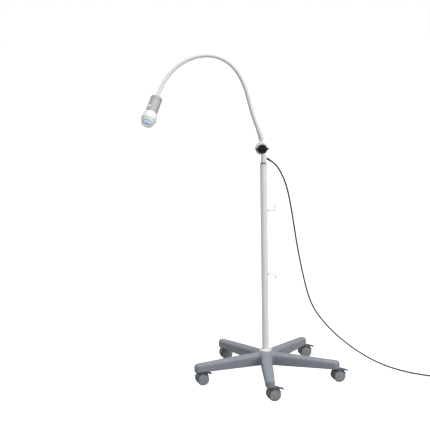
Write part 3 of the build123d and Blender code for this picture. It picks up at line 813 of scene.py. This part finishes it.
# ==== gooseneck ================================================================================
NECK = [Vector(p) for p in (
    (-8.0, 0.0, 1000.0), (-11.36, -0.72, 1030.25), (-21.08, -2.58, 1059.18), (-31.87, -4.27, 1087.75),
    (-41.46, -5.36, 1116.77), (-49.36, -5.97, 1146.31), (-56.49, -6.54, 1176.05), (-64.13, -7.41, 1205.65),
    (-73.33, -8.72, 1234.79), (-84.93, -10.46, 1263.02), (-99.66, -12.59, 1289.72), (-118.11, -15.04, 1313.95),
    (-140.56, -17.7, 1334.47), (-166.73, -20.54, 1349.95), (-195.58, -23.57, 1359.46), (-225.74, -26.94, 1362.85),
    (-255.95, -30.84, 1360.57), (-285.25, -35.53, 1353.27), (-312.91, -41.29, 1341.63), (-338.35, -48.4, 1326.26),
    (-361.05, -57.15, 1307.77), (-380.6, -67.77, 1286.82), (-396.83, -80.39, 1264.2), (-410.01, -94.94, 1240.76),
    (-421.02, -111.18, 1217.3))]
HEAD_Z = Vector((-0.3123, -0.5826, -0.7504)).normalized()
HEAD_AT = Vector((-426.4, -120.2, 1205.9))
hx = (Vector((1, -0.058, 0)) - HEAD_Z * HEAD_Z.dot(Vector((1, -0.058, 0)))).normalized()
HL = place_at(HEAD_AT, hx, HEAD_Z)

knots = [Vector((-8.0, 0, 1012.0)), Vector((-8.2, -0.05, 1020.0)), Vector((-11.2, -0.6, 1032.5)), Vector((-15.9, -1.5, 1044.5)),
         Vector((-21.3, -2.5, 1060.0))] + NECK[3:24] + [HEAD_AT - HEAD_Z * 14.5, HEAD_AT - HEAD_Z * 4.0, HEAD_AT + HEAD_Z * 3.0]


def smooth_line(ks, per=24):
    out = []
    for i in range(len(ks) - 1):
        p0, p1, p2, p3 = ks[max(0, i - 1)], ks[i], ks[i + 1], ks[min(len(ks) - 1, i + 2)]
        # centripetal spacing keeps uneven points from overshooting
        d1, d2, d3 = [max(1e-6, (b - a).length) ** 0.5 for a, b in ((p0, p1), (p1, p2), (p2, p3))]
        if i == 0:
            d1, p0 = d2, p1 - (p2 - p1)
        if i == len(ks) - 2:
            d3, p3 = d2, p2 + (p2 - p1)
        t1 = (p1 - p0) / d1 - (p2 - p0) / (d1 + d2) + (p2 - p1) / d2
        t2 = (p2 - p1) / d2 - (p3 - p1) / (d2 + d3) + (p3 - p2) / d3
        t1, t2 = t1 * d2, t2 * d2
        for j in range(per):
            s = j / per
            out.append(p1 * (2 * s ** 3 - 3 * s * s + 1) + t1 * (s ** 3 - 2 * s * s + s) + p2 * (3 * s * s - 2 * s ** 3) + t2 * (s ** 3 - s * s))
    out.append(ks[-1])
    return out


def resample(line, step):
    out, need = [line[0].copy()], step
    for a, b in zip(line, line[1:]):
        seg = (b - a).length
        while need <= seg:
            out.append(a + (b - a) * (need / seg))
            need += step
        need -= seg
    if (out[-1] - line[-1]).length > 0.2 * step:
        out.append(line[-1].copy())
    return out


axis_line = smooth_line(knots)
# a few passes of averaging take the last unevenness out of the curvature
axis_line = resample(axis_line, 6.0)
for _ in range(10):
    axis_line = [axis_line[0], axis_line[1]] + [axis_line[i - 1] * 0.25 + axis_line[i] * 0.5 + axis_line[i + 1] * 0.25 for i in range(2, len(axis_line) - 2)] + axis_line[-2:]
axis_line = resample(smooth_line(axis_line, 8), 0.75)


def nearest(p):
    return min(range(len(axis_line)), key=lambda i: (axis_line[i] - p).length_squared)


def rib(s):
    # the sleeve swells very slightly where it is glued over each coil joint
    return 8.05 + 0.02 * math.sin(2 * math.pi * s / 45.0)


cuts = [0] + [nearest(NECK[i]) for i in (6, 10, 14, 18)] + [len(axis_line) - 1]
stands = [["neck_1", "neck_2"], ["neck_3"], ["neck_4"], ["neck_5"], ["neck_6"]]
for k in range(5):
    i0, i1 = cuts[k], cuts[k + 1]
    lead = 5 if k else 0
    pts = axis_line[i0 - lead:i1 + 1]
    radii = [rib((i0 - lead + j) * 0.75) - (0.12 if j < lead else 0.0) for j in range(len(pts))]
    o = tube("neck_sleeve_%d" % (k + 1), pts, radii, None, ["sleeve_white"], seg=36, s0=(i0 - lead) * 0.75, sharp=50.0)
    j = NECK[(4, 8, 12, 16, 20)[k]]
    c = nearest(j)
    reach = 68
    a, b = axis_line[max(i0 + 2, c - reach)], axis_line[min(i1 - 2, c + reach)]
    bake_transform(o)
    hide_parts(*stands[k])

# ribbed boot at the foot of the neck
foot = [p for p in axis_line[:70] if p.z > 1016.0]
n_foot = len(foot)


def boot_r(s):
    base = 11.5 + (8.75 - 11.5) * min(1.0, s / 44.0) ** 0.75
    if s < 1.2:
        return base + 0.2
    if 3.0 < s < 25.0:
        ph = ((s - 3.0) % 4.4) / 4.4
        dip = 0.5 - 0.5 * math.cos(2 * math.pi * min(1.0, max(0.0, (ph - 0.55) / 0.45)))
        return base - 0.75 * dip
    return base


ds = [0.0]
for a, b in zip(foot, foot[1:]):
    ds.append(ds[-1] + (b - a).length)
end = ds[-1]
radii = [boot_r(s) for s in ds]
foot = [foot[0]] + foot + [foot[-1] + (foot[-1] - foot[-2]).normalized() * 0.35]
radii = [radii[0] - 0.5] + radii + [8.12]
tube("neck_boot", foot, radii, "arm_base", ["sleeve_white"], seg=56, caps=(True, True), sharp=35.0, slot="sleeve_white", replaces=["arm_boot"])

# ==== clamp knob ===============================================================================
ja = math.radians(7.0)
J = place_at((-8.0, 0.0, 978.0), (math.cos(ja), math.sin(ja), 0), (math.sin(ja), -math.cos(ja), 0))


def knob_outline(t, grow):
    # outline of the wing knob at angle t, grown by grow mm: scalloped round body with two wings along local X
    s, c = abs(math.sin(t)), abs(math.cos(t))
    body = 19.0
    for k in range(24):
        if k % 12 in (0, 1, 11):
            continue
        d = abs((t - k * math.pi / 12 + math.pi) % (2 * math.pi) - math.pi) * 19.0
        if d < 1.9:
            body -= 0.95 * (0.5 + 0.5 * math.cos(math.pi * d / 1.9))
    half = 3.3
    wing = half / s if s > 1e-6 else 1e9
    tip = 27.0
    if wing > tip:
        wing = tip
    # round end of the wing
    cx = tip - half
    if c > 0 and s * cx < half:
        wing = min(wing if s * tip > half else 1e9, cx * c + math.sqrt(max(0.0, half * half - (cx * s) ** 2)))
    k = 7.0
    m = max(body, wing)
    return m + math.log(math.exp(-k * (m - body) / 3) + math.exp(-k * (m - wing) / 3)) * 3 / k - math.log(2) * 0.0 + grow


def knob_mesh():
    angs = []
    for q in range(4):
        base = q * math.pi / 2
        for i in range(60):
            s = i / 60
            w = s if q % 2 == 0 else 1 - (1 - s)
            if q % 2 == 0:
                w = s ** 1.7
            else:
                w = 1 - (1 - s) ** 1.7
            angs.append(base + w * math.pi / 2)
    layers = [(13.4, None), (17.4, None), (17.5, -3.0), (17.7, -1.2), (18.5, -0.35), (19.6, 0.0), (26.9, 0.0), (28.3, -0.3), (29.2, -1.1), (29.55, -2.4)]
    verts, faces = [], []
    n = len(angs)
    # hub under the body
    for z_, g in layers:
        for t in angs:
            if g is None:
                r = 12.0
            else:
                r = max(12.1, knob_outline(t, g)) if g > -3.0 else max(12.0, knob_outline(t, g))
            verts.append(J @ Vector((r * math.cos(t), r * math.sin(t), z_)))
    # crown of the face: draws in to the top disc
    for f, z_ in ((0.86, 29.75), (0.74, 29.8)):
        for t in angs:
            r = max(12.6, min(knob_outline(t, -2.4), 19.2) * f)
            verts.append(J @ Vector((r * math.cos(t), r * math.sin(t), z_)))
    rows = len(layers) + 2
    for j in range(rows - 1):
        for i in range(n):
            k = (i + 1) % n
            faces.append((j * n + i, j * n + k, (j + 1) * n + k, (j + 1) * n + i))
    faces.append(tuple(reversed(range(n))))
    verts.append(J @ Vector((0, 0, 29.8)))
    c = len(verts) - 1
    for i in range(n):
        faces.append(((rows - 1) * n + i, (rows - 1) * n + (i + 1) % n, c))
    return obj_from("wing_knob", verts, faces, ["knob_black"], "knob", sharp=42.0, slot="knob_black", replaces=["clamp_knob"])


knob_mesh()
lathe("knob_cap", round_profile([(12.5, 29.0), (12.5, 32.0), (11.0, 32.0), (10.2, 31.5), (0, 31.5)], 0.6, 3), J, "knob", ["knob_black"], seg=64, slot="knob_black")
super_loft("knob_bar", [(29.0, 14.6, 3.1, 3.6), (33.4, 14.6, 3.1, 3.6), (34.4, 14.3, 2.8, 3.6), (34.9, 13.4, 2.0, 3.4), (35.0, 12.6, 1.2, 3.0)], J, "knob", ["knob_black"], seg=64, slot="knob_black")

# ==== castor wheels ============================================================================
def wheel_piece(arm, ang, side):
    a = math.radians(ang)
    S = Vector((300 * math.sin(a), -300 * math.cos(a), 0))
    tr = math.radians(CASTOR_TURN)
    d = Vector((math.cos(tr), math.sin(tr), 0))
    ya = Vector((-math.sin(tr), math.cos(tr), 0))
    out = ya if side > 0 else -ya
    P = place_at(S + d * 15.0 + Vector((0, 0, 25.0)), d, out)
    face = [(0, 21.5), (3.2, 21.5), (3.7, 21.05), (5.0, 21.0), (5.5, 21.35), (14.6, 20.75), (15.1, 20.3), (16.3, 20.1), (16.9, 20.45), (20.6, 19.75), (21.1, 19.2),
            (21.7, 19.0), (22.3, 19.45), (23.4, 19.3)]
    tread = [(24.55, 18.3), (25.0, 17.0), (25.0, 9.4), (24.5, 7.6), (23.4, 6.6)]
    inner = [(21.9, 6.35), (21.0, 7.0), (19.5, 15.5), (10.5, 15.0), (9.5, 7.0), (9.0, 6.3), (3.1, 6.3), (3.1, 12.0), (0, 12.0)]
    prof = round_profile(face + tread + inner, 0.55, 3)
    node = "caster_%s_wheel_%s" % (arm, "right" if side > 0 else "left")
    body = "caster_%s_wheel_%s" % (arm, "r" if side > 0 else "l")
    return lathe("wheel_%s_%s" % (arm, "right" if side > 0 else "left"), prof, P, body, ["wheel_grey", "tyre"], seg=80,
                 mat_of=lambda r, z_: 1 if r > 22.2 else 0, slot="wheel_grey", replaces=[node])


for arm, ang in ARMS:
    for side in (-1, 1):
        wheel_piece(arm, ang, side)

# ==== lamp head ================================================================================
bez = [(22.3, 74.0), (24.6, 77.6), (25.6, 77.6), (27.2, 80.0), (28.6, 84.5), (29.6, 91.0), (30.4, 98.0), (30.7, 103.0), (30.3, 108.4), (29.8, 109.3), (29.0, 109.3), (29.0, 106.4), (27.6, 106.4), (27.4, 103.0),
       (28.2, 97.0), (28.0, 88.0), (27.0, 81.0), (25.4, 77.0), (22.3, 75.5)]
lathe("bezel_shell", round_profile(bez, 0.45, 4, closed=True), HL, "lamp_head", ["bezel_white"], seg=112, closed=True, slot="bezel_white",
      replaces=["front_bezel"], sharp=40.0)
collar = [(22.35, 70.15), (24.1, 70.15), (24.32, 70.5), (24.45, 77.0), (24.2, 77.45), (22.35, 77.45)]
lathe("head_collar", round_profile(collar, 0.3, 3, closed=True), HL, "lamp_head", ["head_grey"], seg=96, closed=True, slot="head_grey", sharp=40.0)
lens_prof = [(27.2, 103.4), (27.2, 106.2), (28.85, 106.2), (28.7, 110.0), (28.0, 115.0), (26.9, 119.5), (24.8, 126.0), (22.9, 129.9), (20.8, 131.9),
             (16.0, 132.9), (8.0, 133.4), (0, 133.5)]
lens_in = [(0, 130.7), (8.0, 130.6), (16.0, 130.1), (19.4, 129.2), (21.2, 127.0), (23.0, 122.4), (24.6, 116.8), (25.3, 111.0), (25.3, 103.4)]
lathe("front_glass", round_profile(lens_prof, 0.8, 3) + round_profile(lens_in, 0.8, 3), HL, "lamp_head", ["lens_clear"], seg=96, closed=True,
      slot="lens_clear", replaces=["front_lens"], sharp=30.0)
cup = round_profile([(4.3, 88.9), (5.2, 90.6), (6.6, 93.6), (8.6, 97.6), (11.0, 102.0), (13.4, 106.8), (15.6, 111.4), (17.0, 114.9), (17.2, 115.9), (16.6, 116.35),
                     (16.1, 115.6), (14.8, 111.8), (12.6, 107.2), (10.1, 102.4), (7.7, 98.0), (5.8, 94.0), (4.5, 91.0), (4.2, 89.2)], 0.4, 2, closed=True)
lathe("mirror", cup, HL, "lamp_head", ["mirror_cup"], seg=96, closed=True, slot="mirror_cup", replaces=["reflector"], sharp=50.0)
# frosted skirt with a painted glow that flares back from the mirror's rim, and the dark ring round the opening
skirt = round_profile([(20.2, 116.0), (20.9, 113.6), (22.2, 110.8), (23.6, 107.4), (24.7, 104.4), (24.0, 104.3), (22.6, 107.6), (21.2, 110.9), (19.9, 113.6), (19.3, 115.2)], 0.5, 2, closed=True)
lathe("light_skirt", skirt, HL, "lamp_head", ["skirt_glow"], seg=96, closed=True, slot="mirror_cup", sharp=50.0)
rim = round_profile([(16.9, 115.7), (17.1, 116.9), (17.7, 117.5), (19.4, 117.4), (20.3, 116.6), (20.3, 115.7)], 0.4, 3, closed=True)
lathe("mirror_rim", rim, HL, "lamp_head", ["gasket"], seg=96, closed=True, slot="mirror_cup", sharp=50.0)
lathe("led_dome", round_profile([(4.3, 87.7), (4.3, 88.5), (3.7, 88.5), (3.5, 90.0), (2.6, 91.2), (1.2, 91.8), (0, 91.9)], 0.3, 2), HL, "lamp_head",
      ["led_lamp"], seg=40, slot="circuit_board")

# ==== studio ===================================================================================
scene = bpy.context.scene
scene.view_settings.view_transform = "Standard"
scene.view_settings.look = "None"
world = bpy.data.worlds.new("studio")
scene.world = world
world.use_nodes = True
wn = world.node_tree
wn.nodes.clear()
wo = wn.nodes.new("ShaderNodeOutputWorld")
mixs = wn.nodes.new("ShaderNodeMixShader")
lp = wn.nodes.new("ShaderNodeLightPath")
b1 = wn.nodes.new("ShaderNodeBackground")
b1.inputs["Color"].default_value = (1, 1, 1, 1)
b1.inputs["Strength"].default_value = 0.46
b2 = wn.nodes.new("ShaderNodeBackground")
b2.inputs["Color"].default_value = (1, 1, 1, 1)
b2.inputs["Strength"].default_value = 1.0
wn.links.new(lp.outputs["Is Camera Ray"], mixs.inputs[0])
wn.links.new(b1.outputs[0], mixs.inputs[1])
wn.links.new(b2.outputs[0], mixs.inputs[2])
wn.links.new(mixs.outputs[0], wo.inputs["Surface"])

fm = bpy.data.meshes.new("studio_floor")
fm.from_pydata([(-30, -30, 0), (30, -30, 0), (30, 30, 0), (-30, 30, 0)], [], [(0, 1, 2, 3)])
floor = bpy.data.objects.new("studio_floor", fm)
floor.location.z = -0.0004
scene.collection.objects.link(floor)
fmat = bpy.data.materials.new("studio_floor")
fmat.use_nodes = True
fn = fmat.node_tree
fn.nodes.clear()
fo = fn.nodes.new("ShaderNodeOutputMaterial")
fd = fn.nodes.new("ShaderNodeBsdfDiffuse")
fd.inputs["Color"].default_value = (0.34, 0.34, 0.345, 1)
fe = fn.nodes.new("ShaderNodeEmission")
fe.inputs["Color"].default_value = (1, 1, 1, 1)
fe.inputs["Strength"].default_value = 0.97
fa = fn.nodes.new("ShaderNodeAddShader")
fmx = fn.nodes.new("ShaderNodeMixShader")
flp = fn.nodes.new("ShaderNodeLightPath")
fn.links.new(fd.outputs[0], fa.inputs[0])
fn.links.new(fe.outputs[0], fa.inputs[1])
fn.links.new(flp.outputs["Is Camera Ray"], fmx.inputs[0])
fn.links.new(fd.outputs[0], fmx.inputs[1])
fn.links.new(fa.outputs[0], fmx.inputs[2])
# the floor is clear from underneath
fgeo = fn.nodes.new("ShaderNodeNewGeometry")
fclear = fn.nodes.new("ShaderNodeBsdfTransparent")
fback = fn.nodes.new("ShaderNodeMixShader")
fn.links.new(fgeo.outputs["Backfacing"], fback.inputs[0])
fn.links.new(fmx.outputs[0], fback.inputs[1])
fn.links.new(fclear.outputs[0], fback.inputs[2])
fn.links.new(fback.outputs[0], fo.inputs["Surface"])
fm.materials.append(fmat)


def area(name, at, aim, size, watts, colour=(1, 1, 1), spread=None):
    l = bpy.data.lights.new(name, "AREA")
    l.shape = "RECTANGLE"
    l.size, l.size_y = size
    l.energy = watts
    l.color = colour
    o = bpy.data.objects.new(name, l)
    scene.collection.objects.link(o)
    o.location = at
    o.rotation_mode = "QUATERNION"
    o.rotation_quaternion = (Vector(aim) - Vector(at)).to_track_quat("-Z", "Y")
    return o


area("key_softbox", (3.0, -2.6, 2.6), (0, 0, 0.7), (1.6, 2.2), 112)
area("top_softbox", (0.2, -0.3, 4.2), (0, 0, 0.5), (2.4, 2.4), 78)
area("fill_softbox", (-3.2, -2.8, 1.4), (0, 0, 0.7), (1.6, 2.0), 16)
area("back_softbox", (-2.9, 2.6, 2.2), (0, 0, 0.7), (1.8, 2.0), 26)
